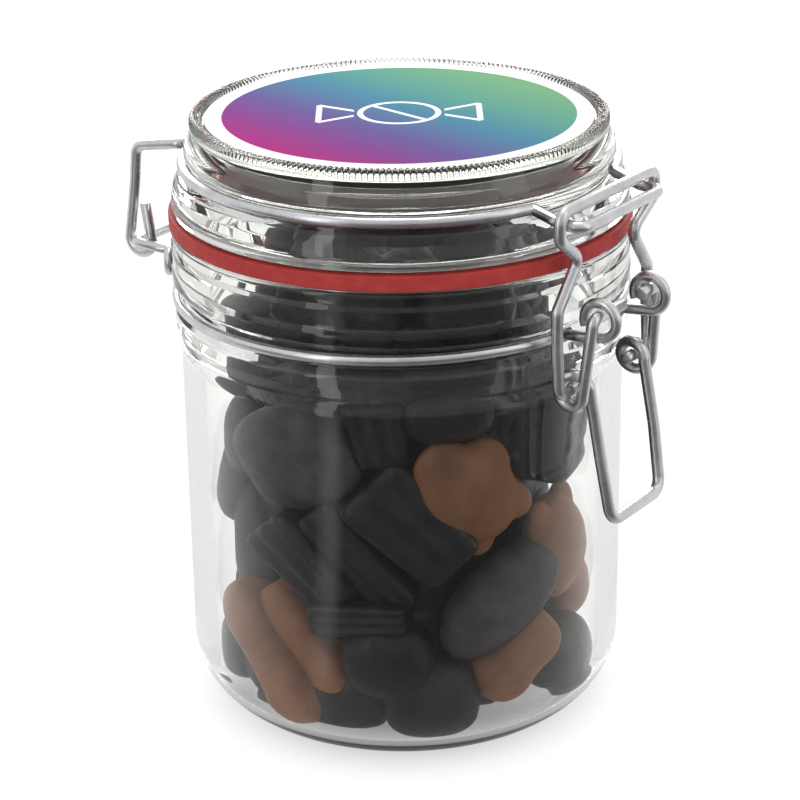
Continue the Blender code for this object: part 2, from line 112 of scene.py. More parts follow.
def turned(name, outline, material, segments, relief=None):
    """Surface of turning: outline point (out, up) at angle t goes to (out cos t, out sin t, up). An
    outline that starts and ends on the axis closes in two poles, and any other closes on itself.
    relief(out, up, t) gives shifts of out and up over the whole grid."""
    on_axis = outline[0][0] < 1e-6
    rows = outline[1:-1] if on_axis else outline
    angle = np.linspace(0, 2 * np.pi, segments, endpoint=False)
    out, t = np.meshgrid(rows[:, 0], angle, indexing="ij")
    up = np.repeat(rows[:, 1:2], segments, axis=1)
    if relief:
        shift_out, shift_up = relief(out, up, t)
        out, up = out + shift_out, up + shift_up
    verts = np.stack([out * np.cos(t), out * np.sin(t), up], -1).reshape(-1, 3)
    if on_axis:
        verts = np.vstack([verts, [0, 0, outline[0][1]], [0, 0, outline[-1][1]]])
    return mesh_object(name, verts * MM, grid_faces(len(rows), segments, on_axis), material)


def variation_group():
    """Node group: soft noise over the object, spread between two values."""
    group = bpy.data.node_groups.new("surface_variation", "ShaderNodeTree")
    for label, start in (("Scale", 100.0), ("Detail", 3.0), ("Low", 0.0), ("High", 1.0)):
        socket = group.interface.new_socket(label, in_out="INPUT", socket_type="NodeSocketFloat")
        socket.default_value = start
    group.interface.new_socket("Value", in_out="OUTPUT", socket_type="NodeSocketFloat")
    given, out = group.nodes.new("NodeGroupInput"), group.nodes.new("NodeGroupOutput")
    place, noise = group.nodes.new("ShaderNodeTexCoord"), group.nodes.new("ShaderNodeTexNoise")
    spread = group.nodes.new("ShaderNodeMapRange")
    spread.inputs["From Min"].default_value = 0.3
    spread.inputs["From Max"].default_value = 0.7
    group.links.new(place.outputs["Object"], noise.inputs["Vector"])
    group.links.new(given.outputs["Scale"], noise.inputs["Scale"])
    group.links.new(given.outputs["Detail"], noise.inputs["Detail"])
    group.links.new(noise.outputs["Fac"], spread.inputs["Value"])
    group.links.new(given.outputs["Low"], spread.inputs["To Min"])
    group.links.new(given.outputs["High"], spread.inputs["To Max"])
    group.links.new(spread.outputs["Result"], out.inputs["Value"])
    return group


VARIATION = variation_group()


class Finish:
    """A Principled material, with constants on the shader's own sockets and noise where asked."""

    def __init__(self, name, **constants):
        self.material = bpy.data.materials.new(name)
        self.material.use_nodes = True
        self.tree = self.material.node_tree
        self.nodes, self.links = self.tree.nodes, self.tree.links
        self.shader = self.nodes["Principled BSDF"]
        for label, value in constants.items():
            self.shader.inputs[label.replace("_", " ")].default_value = value

    def node(self, kind, **values):
        """A new node with its named inputs set."""
        made = self.nodes.new(kind)
        for label, value in values.items():
            made.inputs[label.replace("_", " ")].default_value = value
        return made

    def vary(self, scale, low=0.0, high=1.0, detail=3.0):
        """Noise over the object, from low to high."""
        made = self.node("ShaderNodeGroup")
        made.node_tree = VARIATION
        for label, value in (("Scale", scale), ("Detail", detail), ("Low", low), ("High", high)):
            made.inputs[label].default_value = value
        return made.outputs["Value"]

    def math(self, operation, first, second=None, third=None):
        """A Math node on numbers or sockets."""
        made = self.nodes.new("ShaderNodeMath")
        made.operation = operation
        for k, value in enumerate((first, second, third)):
            if value is None:
                continue
            if isinstance(value, (int, float)):
                made.inputs[k].default_value = value
            else:
                self.links.new(value, made.inputs[k])
        return made.outputs[0]

    def mix(self, share, first, second):
        """Two colours, mixed by a share; each is a colour or a socket. The node's colour sockets
        are inputs 6 and 7 and output 2."""
        made = self.nodes.new("ShaderNodeMix")
        made.data_type = "RGBA"
        for label, value in ((0, share), (6, first), (7, second)):
            if isinstance(value, (int, float)):
                made.inputs[label].default_value = value
            elif isinstance(value, tuple):
                made.inputs[label].default_value = (*value, 1.0)
            else:
                self.links.new(value, made.inputs[label])
        return made.outputs[2]

    def rise(self, value, start, stop, low=0.0, high=1.0, curve="LINEAR"):
        """From low to high as a value goes from start to stop."""
        made = self.node("ShaderNodeMapRange", From_Min=start, From_Max=stop, To_Min=low, To_Max=high)
        made.interpolation_type = curve
        self.links.new(value, made.inputs["Value"])
        return made.outputs["Result"]

    def feed(self, label, value):
        """Link a socket into the shader."""
        self.links.new(value, self.shader.inputs[label])

    def bump(self, height, distance, strength=1.0):
        """Raise the surface by a height between 0 and 1 times a distance in metres."""
        made = self.node("ShaderNodeBump", Strength=strength, Distance=distance)
        self.links.new(height, made.inputs["Height"])
        self.feed("Normal", made.outputs["Normal"])


def glass_finish(name, wave):
    """Clear soda glass, barely green in depth. Pressing leaves faint waves, given in metres."""
    made = Finish(name, Base_Color=(0.985, 0.992, 0.985, 1), Roughness=0.0, IOR=1.5,
                  Transmission_Weight=1.0)
    made.bump(made.vary(70.0, detail=2.0), wave)
    tint = made.node("ShaderNodeVolumeAbsorption", Color=(0.83, 0.88, 0.64, 1), Density=6.0)
    made.links.new(tint.outputs["Volume"], made.nodes["Material Output"].inputs["Volume"])
    return made.material


jar_outline = rounded([
    (0.0, FLOOR_UP, 0), (INNER, FLOOR_UP, CORNER), (INNER, SHOULDER_UP, 7.0), (MOUTH, MOUTH_UP, 7.0),
    (MOUTH, RIM_UP, 0.8), (44.2, RIM_UP, 1.0), (43.75, 95.9, 0.5), (44.2, 95.0, 0.5),
    (43.95, 91.6, 0.6), (44.25, 90.3, 0.7), (44.2, 88.2, 0.8), (NECK_GROOVE, 86.7, 0.8),
    (NECK_GROOVE, 83.5, 0.7), (43.9, 82.2, 1.1), (43.9, 79.8, 1.6), (BODY, 77.0, 4.0),
    (BODY, FOOT_UP, 13.9), (27.0, FOOT_UP, 1.0), (24.0, 0.35, 1.0), (0.0, 0.4, 0),
], steps=10)
jar = turned("jar_glass", jar_outline, glass_finish("jar_glass", wave=0.000018), segments=288)
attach(jar, "vessel")
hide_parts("jar")

# Rubber ring
# The seal is a flat moulded ring of red rubber that lies loose on the jar's rim and is squeezed
# by the lid. It is dull, with fine dust and a faint moulding grain.
RING_IN, RING_OUT, RING_LOW, RING_TOP = 37.9, 44.45, 98.82, 101.88
rubber = Finish("red_rubber", Base_Color=(0.45, 0.035, 0.03, 1), Roughness=0.55,
                Specular_IOR_Level=0.35)
rubber.feed("Base Color", rubber.mix(rubber.vary(350.0), (0.40, 0.028, 0.026), (0.50, 0.045, 0.038)))
rubber.feed("Roughness", rubber.vary(900.0, 0.48, 0.66))
rubber.bump(rubber.vary(1500.0), 0.00003, 0.6)
ring_outline = rounded([
    (RING_IN, 100.3, 0), (RING_IN, RING_TOP, 0.2), (RING_OUT, RING_TOP, 0.5),
    (RING_OUT, RING_LOW, 0.5), (RING_IN, RING_LOW, 0.2), (RING_IN, 100.1, 0),
], steps=5)
ring = turned("seal_ring", ring_outline, rubber.material, segments=240)
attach(ring, "vessel")
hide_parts("rubber_ring")

# Lid
# The lid is a pressed-glass cap, hollow underneath, with a groove for its wire and a rim of small
# round beads round the recess where the label lies.
BEADS, BEAD_SEGMENTS = 230, 6


def bead_relief(out, up, t):
    """Beads on the rim: where the outline is above the recess, it is pressed in by the beads' depth
    times one less the bead's round, the 0.6th power of the cosine of half its angle."""
    bead_depth, bead_foot, foot_fade = 0.5, 118.2, 0.8
    recess_edge, rim_middle = 37.35, 38.55
    weight = np.clip((up - bead_foot) / foot_fade, 0, 1) * (out > recess_edge)
    dent = bead_depth * weight * (1 - np.abs(np.cos(t * BEADS / 2)) ** 0.6)
    return -dent * np.sign(out - rim_middle) * 0.5, -dent


lid_outline = rounded([
    (0.0, 118.5, 0), (37.3, 118.5, 0.3), (37.55, 119.5, 0.5), (38.5, 120.0, 0.7), (39.75, 119.7, 0.7),
    (39.8, 118.6, 0.6), (39.5, 117.6, 1.0), (40.8, 115.0, 3.0), (41.2, 112.7, 0.8), (40.15, 111.8, 0.9),
    (40.1, 109.7, 0.9), (41.2, 109.2, 0.5), (42.4, 108.7, 1.2), (43.3, 107.0, 1.8), (43.75, 104.5, 1.5),
    (43.75, 102.2, 0.6), (36.4, 102.2, 0.6), (35.9, 106.5, 2.0), (34.6, 111.0, 2.5), (31.0, 113.2, 4.0),
    (0.0, 113.6, 0),
], steps=3)
lid = turned("lid_glass", lid_outline, glass_finish("lid_glass", wave=0.000015),
             segments=BEADS * BEAD_SEGMENTS, relief=bead_relief)
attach(lid, "vessel")
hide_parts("lid")

# Label
# A round printed sticker lies in the recess of the lid: a white edge round a disc that runs from
# magenta through violet and blue to green, with a plain wrapped sweet drawn on it in white.
LABEL_STOPS = (
    (0.02, (0.400, 0.048, 0.225)), (0.19, (0.240, 0.078, 0.270)), (0.33, (0.150, 0.118, 0.310)),
    (0.55, (0.090, 0.240, 0.345)), (0.73, (0.125, 0.330, 0.280)), (0.96, (0.190, 0.390, 0.210)),
)
DISC_RADIUS, SWEET_RADIUS, LINE_WIDTH, SLANT_WIDTH, STRIPE_WIDTH = 33.6, 7.4, 1.1, 1.25, 1.0
FADE_BEARING, STRIPE_BEARING = -11.3, -10.0
# The photograph shows the side at this bearing, in degrees from the closure towards the left.
SHOWN_BEARING = 54.3
print_finish = Finish("printed_label", Roughness=0.6, Specular_IOR_Level=0.0)
place = print_finish.node("ShaderNodeTexCoord")
split = print_finish.node("ShaderNodeSeparateXYZ")
print_finish.links.new(place.outputs["Object"], split.inputs["Vector"])
label_x, label_y = split.outputs["X"], split.outputs["Y"]


def along(bearing):
    """Distance across the label in millimetres along a bearing in degrees from +X towards +Y."""
    east = print_finish.math("MULTIPLY", label_x, 1000 * math.cos(math.radians(bearing)))
    return print_finish.math("MULTIPLY_ADD", label_y, 1000 * math.sin(math.radians(bearing)), east)


def squared_mm(coordinate):
    """The square of a coordinate in millimetres."""
    return print_finish.math("POWER", print_finish.math("MULTIPLY", coordinate, 1000.0), 2.0)


def edge(value, limit):
    """1 where value is under limit, with a slightly soft edge."""
    softness = 0.08
    return print_finish.rise(value, limit + softness, limit - softness)


def both(first, second):
    """Where both masks are 1."""
    return print_finish.math("MULTIPLY", first, second)


def line(value, middle, width):
    """1 where value is within half a width of the middle."""
    return edge(print_finish.math("ABSOLUTE", print_finish.math("SUBTRACT", value, middle)), width / 2)


ramp = print_finish.node("ShaderNodeValToRGB")
ramp.color_ramp.interpolation = "LINEAR"
while len(ramp.color_ramp.elements) < len(LABEL_STOPS):
    ramp.color_ramp.elements.new(0.5)
for stop, (position, colour) in zip(ramp.color_ramp.elements, LABEL_STOPS):
    stop.position = position
    stop.color = (*colour, 1.0)
fade = print_finish.rise(along(FADE_BEARING), -DISC_RADIUS, DISC_RADIUS)
print_finish.links.new(fade, ramp.inputs["Fac"])

# The drawn sweet is a ring with a slanting stripe, and on each side a wing of two slanting lines
# and an end line. It lies from left to right as the photograph shows the lid.
radius = print_finish.math("SQRT", print_finish.math("ADD", squared_mm(label_x), squared_mm(label_y)))
across = print_finish.math("ABSOLUTE", along(-SHOWN_BEARING))
upward = print_finish.math("ABSOLUTE", along(90.0 - SHOWN_BEARING))
wing_slope, wing_start, wing_tip = 0.62, 3.6, 16.5
wing_middle, wing_length, end_at, end_half = 11.9, 6.6, 15.2, 5.9
sweet_body = line(radius, SWEET_RADIUS, LINE_WIDTH)
slanted = print_finish.math("MULTIPLY_ADD", across, -wing_slope, upward)
wing_reach = both(line(across, wing_middle, wing_length), edge(radius, wing_tip))
wing_side = both(line(slanted, -wing_start, SLANT_WIDTH), wing_reach)
wing_end = both(line(across, end_at, LINE_WIDTH), edge(upward, end_half))
stripe = both(line(along(STRIPE_BEARING), 0.0, STRIPE_WIDTH), edge(radius, SWEET_RADIUS))
drawn = sweet_body
for mask in (wing_side, wing_end, stripe):
    drawn = print_finish.math("MAXIMUM", drawn, mask)
face = print_finish.node("ShaderNodeSeparateXYZ")
geometry = print_finish.node("ShaderNodeNewGeometry")
print_finish.links.new(geometry.outputs["Normal"], face.inputs["Vector"])
printed = print_finish.math("GREATER_THAN", face.outputs["Z"], 0.5)
undrawn = print_finish.math("SUBTRACT", 1.0, drawn)
disc = both(both(edge(radius, DISC_RADIUS), printed), undrawn)
print_finish.feed("Base Color", print_finish.mix(disc, (0.93, 0.93, 0.94), ramp.outputs["Color"]))
print_finish.feed("Roughness", print_finish.vary(500.0, 0.45, 0.58))
print_finish.bump(print_finish.vary(2500.0), 0.00001, 0.4)
LABEL_RADIUS, LABEL_LOW, LABEL_TOP, LABEL_EDGE = 36.9, 118.8, 119.2, 0.12
label_outline = rounded([
    (0.0, LABEL_TOP, 0), (LABEL_RADIUS, LABEL_TOP, LABEL_EDGE), (LABEL_RADIUS, LABEL_LOW, LABEL_EDGE),
    (0.0, LABEL_LOW, 0),
], steps=3)
label = turned("lid_label", label_outline, print_finish.material, segments=192)
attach(label, "vessel")
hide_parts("label")

# Neck wire
# One drawn steel wire lies in the neck's groove. Behind, it is bent out into the hinge bar, and in
# front the closure pulls it up and its ends are bent round into two open eyes.
steel = Finish("satin_steel", Metallic=1.0, Base_Color=(0.50, 0.50, 0.51, 1), Roughness=0.24)
steel.feed("Base Color", steel.mix(steel.vary(260.0), (0.66, 0.66, 0.68), (0.80, 0.80, 0.82)))
steel.feed("Roughness", steel.vary(700.0, 0.26, 0.36))
steel.bump(steel.vary(1800.0), 0.000005, 0.4)


def at(out, side, up):
    """A point in millimetres: outwards to the closure, sideways and up."""
    return np.array([side, -out, up], float)


def bent(corners, radius, steps=7):
    """Path whose corners of 18 degrees or more become arcs of a radius."""
    path = [corners[0]]
    for before, corner, after in zip(corners, corners[1:], corners[2:]):
        path += corner_arc(before, corner, after, radius, steps, least_turn=18.0, side_share=0.48)
    return path + [corners[-1]]


def round_jar(radius, up, start, stop, steps, rise=0.0):
    """Arc round the jar between two bearings in degrees, raised towards the closure."""
    bearing = np.radians(np.linspace(start, stop, steps + 1))
    height = up + rise * np.cos(bearing)
    return list(np.stack([radius * np.sin(bearing), -radius * np.cos(bearing), height], -1))


def upright_loop(out, side, up, radius, start, stop, steps, shift=0.0):
    """Arc in an upright plane, which moves sideways by shift on its way."""
    angle = np.radians(np.linspace(start, stop, steps + 1))
    sideways = side + shift * np.linspace(0, 1, steps + 1)
    return list(np.stack([sideways, -out - radius * np.cos(angle), up + radius * np.sin(angle)], -1))


def mirrored(path):
    """The same path on the other side, run backwards."""
    return [point * (-1, 1, 1) for point in reversed(path)]


def swept(name, path, material, thickness):
    """Round wire: a circle of the wire's radius carried along the path, in frames that turn as
    little as they can. At each cut end two smaller circles and a point round it off, and size and
    inward say how much smaller and how far back from the end."""
    sides, radius, apart = 20, thickness / 2, 1e-3
    path = np.array(path)
    path = path[np.r_[True, np.linalg.norm(np.diff(path, axis=0), axis=1) > apart]]
    tangent = np.gradient(path, axis=0)
    tangent /= np.linalg.norm(tangent, axis=1)[:, None]
    side = np.cross(tangent[0], (0.31, 0.52, 0.79))
    sideways = [side / np.linalg.norm(side)]
    for ahead in tangent[1:]:
        side = sideways[-1] - ahead * (sideways[-1] @ ahead)
        sideways.append(side / np.linalg.norm(side))
    sideways = np.array(sideways)
    upward = np.cross(tangent, sideways)
    ring_of = np.clip(np.arange(-2, len(path) + 2), 0, len(path) - 1)
    size, inward = np.full(len(ring_of), radius), np.zeros(len(ring_of))
    size[[0, 1, -2, -1]] = radius * np.array([0.6, 0.9, 0.9, 0.6])
    inward[[1, 2, -3, -2]] = 0.03, 0.12, -0.12, -0.03
    rings = path[ring_of] + tangent[ring_of] * inward[:, None]
    angle = np.linspace(0, 2 * np.pi, sides, endpoint=False)[None, :, None]
    circle = sideways[ring_of][:, None] * np.cos(angle) + upward[ring_of][:, None] * np.sin(angle)
    verts = (rings[:, None] + circle * size[:, None, None]).reshape(-1, 3)
    verts = np.vstack([verts, rings[0], rings[-1]])
    return mesh_object(name, verts * MM, grid_faces(len(rings), sides, True), material)


# Where the hinge bar behind and the middles of the eyes in front are.
BAR_OUT, BAR_UP = -54.2, 88.2
EYE_OUT, EYE_SIDE, EYE_UP = 50.3, 8.8, 90.2


def neck_path():
    """The neck wire: hinge bar, a kink in each arm, the groove, and an eye at each end. The kink is
    half a circle that leans outwards, and the groove's arc rises towards the closure."""
    groove_radius, groove_up, groove_rise = 43.4, 85.3, 0.7
    bar_side, bend, eye_radius = 16.4, 1.6, 3.36
    kink, kink_out, lean_side, lean_out = 2.1, -44.9, 0.81, 0.58
    rear = math.degrees(math.pi - math.asin(bar_side / groove_radius))
    front = math.degrees(math.asin(EYE_SIDE / groove_radius))
    bar_corner = at(BAR_OUT, bar_side, BAR_UP)
    half = bent([at(BAR_OUT, 0, BAR_UP), bar_corner, at(-45.4, bar_side, BAR_UP)], bend)
    angle = np.radians(np.linspace(90, -90, 13))
    swing, kink_up = kink * np.cos(angle), BAR_UP - kink + kink * np.sin(angle)
    half += list(np.stack([bar_side + swing * lean_side, -kink_out - swing * lean_out, kink_up], -1))
    groove = round_jar(groove_radius, groove_up, rear, front, steps=110, rise=groove_rise)
    eye = upright_loop(EYE_OUT, EYE_SIDE, EYE_UP, eye_radius, -90, 205, steps=40)
    half += bent(groove + [at(46.6, EYE_SIDE, 86.4)] + eye[:2], bend)[:-2]
    half += eye
    return mirrored(half)[:-1] + half


neck_wire = swept("neck_wire_steel", neck_path(), steel.material, thickness=1.98)
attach(neck_wire, "vessel")
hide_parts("neck_wire")

# Lid wire
# A second wire lies in the lid's groove. It stands out in front as the tongue that the bail
# presses down, and behind its ends run down and hook round the hinge bar.


def lid_path():
    """The lid wire: tongue, the groove, and a long arm with a hook at each end."""
    groove_radius, groove_up, bend = 41.3, 110.7, 2.6
    tongue_out, tongue_side, tongue_up = 49.3, 13.9, 108.7
    arm_side, hook_radius = 14.0, 2.9
    front = math.degrees(math.asin(tongue_side / groove_radius))
    rear = math.degrees(math.pi - math.asin(arm_side / groove_radius))
    half = [at(tongue_out, 0, tongue_up), at(tongue_out, tongue_side, tongue_up)]
    half.append(at(44.5, tongue_side, 109.0))
    half += round_jar(groove_radius, groove_up, front, rear, steps=110)
    half += [at(-45.0, arm_side, 109.4), at(BAR_OUT, arm_side, 107.7), at(-55.1, arm_side, 100.0)]
    half = bent(half, bend)
    half += upright_loop(BAR_OUT, arm_side, BAR_UP + 0.1, hook_radius, 180, 350, steps=24)
    half.append(at(-52.7, arm_side, 96.0))
    return mirrored(half)[:-1] + half


lid_wire = swept("lid_wire_steel", lid_path(), steel.material, thickness=2.18)
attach(lid_wire, "vessel")
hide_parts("lid_wire")

# Bail
# The bail is a frame of thicker wire: its bar lies over the tongue, its legs are pinched to a
# waist, and their ends are pins that turn in the lever's coils.
CLOSURE_WIRE, PIN_OUT, PIN_UP = 2.28, 46.0, 76.6


def bail_path():
    """The bail: top bar, waisted legs and pins."""
    bar_out, bar_side, bar_up, waist_side = 46.3, 16.45, 111.6, 9.2
    leg_out, leg_side, pin_end, bend = 45.5, 15.8, 7.6, 2.3
    corners = [
        at(bar_out, 0, bar_up), at(bar_out, bar_side, bar_up), at(46.2, bar_side, 106.6),
        at(45.8, waist_side, 101.4), at(leg_out, leg_side, 93.0), at(leg_out, leg_side, 86.0),
        at(PIN_OUT, leg_side, PIN_UP), at(PIN_OUT, pin_end, PIN_UP),
    ]
    half = bent(corners, bend, steps=8)
    return mirrored(half)[:-1] + half


bail = swept("bail_steel", bail_path(), steel.material, CLOSURE_WIRE)
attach(bail, "bail_frame")
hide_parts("bail")

# Lever
# The lever is one wire: a pin through each eye, an arm, a coil round the bail's pin, and the long
# handle that is pressed down against the jar.


def lever_path():
    """The lever: pins, arms, coils and handle; its two pins differ in length."""
    handle_out, handle_side, handle_up = 53.45, 8.9, 51.2
    coil_side, coil_up, coil_radius, coil_shift = 9.7, 76.4, 2.9, 2.7
    arm_side, pin_up, handle_bend, pin_bend = 11.3, 91.1, 3.0, 1.5
    sides = []
    for pin_end in (1.2, 5.2):
        half = bent([at(handle_out, 0, handle_up), at(handle_out, handle_side, handle_up),
                     at(51.3, coil_side, 64.0)], handle_bend)
        half += upright_loop(PIN_OUT, coil_side, coil_up, coil_radius, 0, 360, 44, coil_shift)
        pin = [half[-1], at(EYE_OUT, arm_side, pin_up), at(EYE_OUT, pin_end, pin_up)]
        half += bent(pin, pin_bend)[1:]
        sides.append(half)
    return mirrored(sides[0])[:-1] + sides[1]


lever = swept("lever_steel", lever_path(), steel.material, CLOSURE_WIRE)
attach(lever, "lever_frame")
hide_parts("lever")

# Sweets
# The jar is packed with loose sweets: cast liquorice in round, oval and brick shapes, and brown
# fruit gums in bars and bears. They lie against the glass, and behind them dark ones fill the gaps
# round a plain dark core.
GAP = 0.3


def inner_limit(up):
    """How far out a sweet may reach at each height: the glass's inside less the gap, with the
    rounded corner at the floor and the shoulder under the mouth. Two shares allow for the flats
    of a faceted wall."""
    corner_flat, wall_flat = 0.96, 0.9978
    drop = np.clip(FLOOR_UP + CORNER - up, 0, CORNER)
    low = INNER - CORNER + np.sqrt(np.clip((corner_flat * CORNER) ** 2 - drop ** 2, 0, None))
    high = INNER + (MOUTH - INNER) * np.clip((up - SHOULDER_UP) / (MOUTH_UP - SHOULDER_UP), 0, 1)
    return np.where(drop > 0, low, high) * wall_flat - GAP


def sphere_grid(columns, rows):
    """Unit directions on a grid of longitude and latitude about the X axis, with their faces."""
    u = np.linspace(0, 2 * np.pi, columns, endpoint=False)
    v = np.linspace(0, np.pi, rows + 2)[1:-1]
    v, u = np.meshgrid(v, u, indexing="ij")
    points = np.stack([np.cos(v), np.sin(v) * np.cos(u), np.sin(v) * np.sin(u)], -1).reshape(-1, 3)
    return np.vstack([points, [1, 0, 0], [-1, 0, 0]]), grid_faces(rows, columns, True)


def squared(d, power):
    """Unit box with rounded edges: directions divided by their norm of a power."""
    return d / (np.abs(d) ** power).sum(1, keepdims=True) ** (1 / power)


def waves(d, seed):
    """Shallow waves over the unit directions d: sines of their parts, shifted by a seed."""
    twist = np.sin(2.3 * d[:, :1] + seed) * np.sin(3.1 * d[:, 2:] + 2 * seed)
    return twist + np.sin(4 * d[:, 1:2] + 3 * seed)


# Each kind of sweet is a shape over the unit directions d, in units of half its length, thickness
# and width, with its own waves.


def bar_shape(d, wobble):
    """A gum bar: a rounded box whose thickness and width swell by a cosine along its length."""
    p = squared(d, 3.6)
    waist = 1 - 0.03 * np.cos(p[:, :1] * 2 * np.pi)
    return p * np.hstack([np.ones_like(waist), waist, waist]) * 0.98 + 0.012 * d * wobble


def bear_shape(d, wobble):
    """A gum bear: in each direction the far sides of eight balls, for body, head, legs, arms and
    ears, blended by the twelfth root of the sum of their twelfth powers."""
    balls = np.array([
        (0, 0, 0, .80), (.52, 0, 0, .40), (-.56, 0, .45, .30), (-.56, 0, -.45, .30),
        (.16, .1, .64, .34), (.16, .1, -.64, .34), (.62, 0, .22, .20), (.62, 0, -.22, .20),
    ])
    reach = d @ balls[:, :3].T
    inside = reach ** 2 - (balls[:, :3] ** 2).sum(1) + balls[:, 3] ** 2
    far = np.where(inside > 0, reach + np.sqrt(np.clip(inside, 0, None)), 0.0)
    far = np.clip(far, 0, None) ** 12
    return d * far.sum(1, keepdims=True) ** (1 / 12) + 0.01 * d * wobble


def oval_shape(d, wobble):
    """An oval: nearly an ellipsoid, whose two faces are sunk by a tenth and carry slanting ribs."""
    p = squared(d, 2.15)
    edge_in = np.sqrt(p[:, :1] ** 2 + p[:, 2:] ** 2)
    face = np.clip(1 - (edge_in / 0.72) ** 4, 0, 1)
    ribs = np.cos(9 * p[:, :1] + 7 * p[:, 2:]) * face
    return p * np.hstack([np.ones_like(face), 1 - 0.10 * face + 0.07 * ribs, np.ones_like(face)])


def round_shape(d, wobble):
    """A round sweet: a full ball, very slightly squared."""
    return squared(d, 2.5) * (1 + 0.015 * wobble)


def brick_shape(d, wobble):
    """A brick: a box with tight edges that tapers along its length, with ridges on its two faces."""
    p = squared(d, 9.0)
    taper = 1 - 0.12 * p[:, :1]
    ridge = 1 + 0.045 * np.cos(p[:, 2:] * 9.0) * (np.abs(p[:, 1:2]) > 0.8)
    return p * np.hstack([np.ones_like(taper), taper * ridge, taper]) + 0.015 * d * wobble


def lump_shape(d, wobble):
    """A lump: a rounded box with strong waves."""
    return squared(d, 3.0) * (1 + 0.05 * wobble)


def turn_about(axis, degrees):
    """Rotation matrix about X, Y or Z."""
    return np.array(Matrix.Rotation(math.radians(degrees), 3, axis))


def seated(points, right, height, tilt, lean, inset=0.0):
    """A sweet turned into place and pushed in along its bearing until every point clears the glass."""
    first_out, tries, near_enough = 34.0, 40, 0.01
    bearing = right - SHOWN_BEARING
    turn = turn_about("Z", bearing) @ turn_about("X", lean) @ turn_about("Y", tilt)
    points = points @ turn.T
    heading = np.array([math.sin(math.radians(bearing)), -math.cos(math.radians(bearing)), 0.0])
    place = heading * first_out + (0, 0, max(height, FLOOR_UP + GAP - points[:, 2].min()))
    for _ in range(tries):
        moved = points + place
        over = (np.hypot(moved[:, 0], moved[:, 1]) - inner_limit(moved[:, 2])).max() + inset
        if abs(over) < near_enough:
            break
        place = place - heading * over
    return points + place


# The sweets that show: kind, (length, width, thickness), degrees right of the side that the
# photograph shows, height of the middle, tilt against the glass, lean off it, and gap to it.
SHOWN_SWEETS = (
    ("gum_bar", (32, 11.5, 11), -51, 16, 48, 4, 0), ("gum_bar", (28, 15, 10), -41, 19, 50, 4, 4),
    ("round", (17.5, 15.5, 14), -6, 21, 0, 0, 0), ("round", (18.5, 17, 15), 8, 13, 0, -12, 0),
    ("gum_bar", (20, 12, 12), 37, 19, -38, 0, 0), ("round", (16, 14.5, 13), 65, 13, -20, 0, 0),
    ("oval", (28, 16, 12), 32, 31, -40, 6, 0), ("gum_bear", (27, 19, 12), 56, 39, 78, 0, 0),
    ("gum_bear", (19, 15, 12), 80, 24, 70, 0, 1), ("gum_bear", (27, 22, 13), 20, 55, 230, 0, 0),
    ("brick", (24, 14.5, 12), 2, 49, 46, -10, 0), ("brick", (21, 11, 10), -33, 40, 46, 6, 0),
    ("brick", (26, 9, 10), -16, 41, 48, 0, 3), ("brick", (18, 6.5, 9), -15, 30, -4, 0, 1),
    ("lump", (24, 21, 14), -37, 61, -30, 8, 0), ("brick", (14, 10.5, 10), -8, 68, 82, 0, 2),
    ("round", (24, 13, 12), -27, 10, 0, 0, 4), ("brick", (20, 15, 12), 67, 59, 10, 0, 1),
    ("round", (18, 13, 12), 14, 72, 0, 0, 1), ("round", (17, 15, 12), -80, 57, 60, 0, 3),
    ("lump", (22, 14, 12), -79, 35, 50, 0, 4), ("round", (15, 14, 12), -78, 12, 0, 0, 0),
    ("round", (17, 15, 12), -60, 9, 40, 0, 3), ("brick", (21, 15, 12), 44, 76, 10, 0, 1),
    ("round", (17, 15, 13), 86, 60, 0, 0, 2), ("brick", (22, 14, 12), -48, 84, -12, 0, 1),
    ("round", (18, 14, 13), 22, 91, 6, 0, 1), ("brick", (22, 15, 12), -20, 93, 20, 0, 1),
)
# Kinds and sizes of the sweets that the photograph doesn't show.
HIDDEN_KINDS = (
    ("lump", (23, 18, 13)), ("brick", (21, 15, 12)), ("round", (18, 15, 13)),
    ("gum_bear", (24, 16, 12)), ("oval", (25, 18, 12)), ("gum_bar", (24, 14, 12)),
)


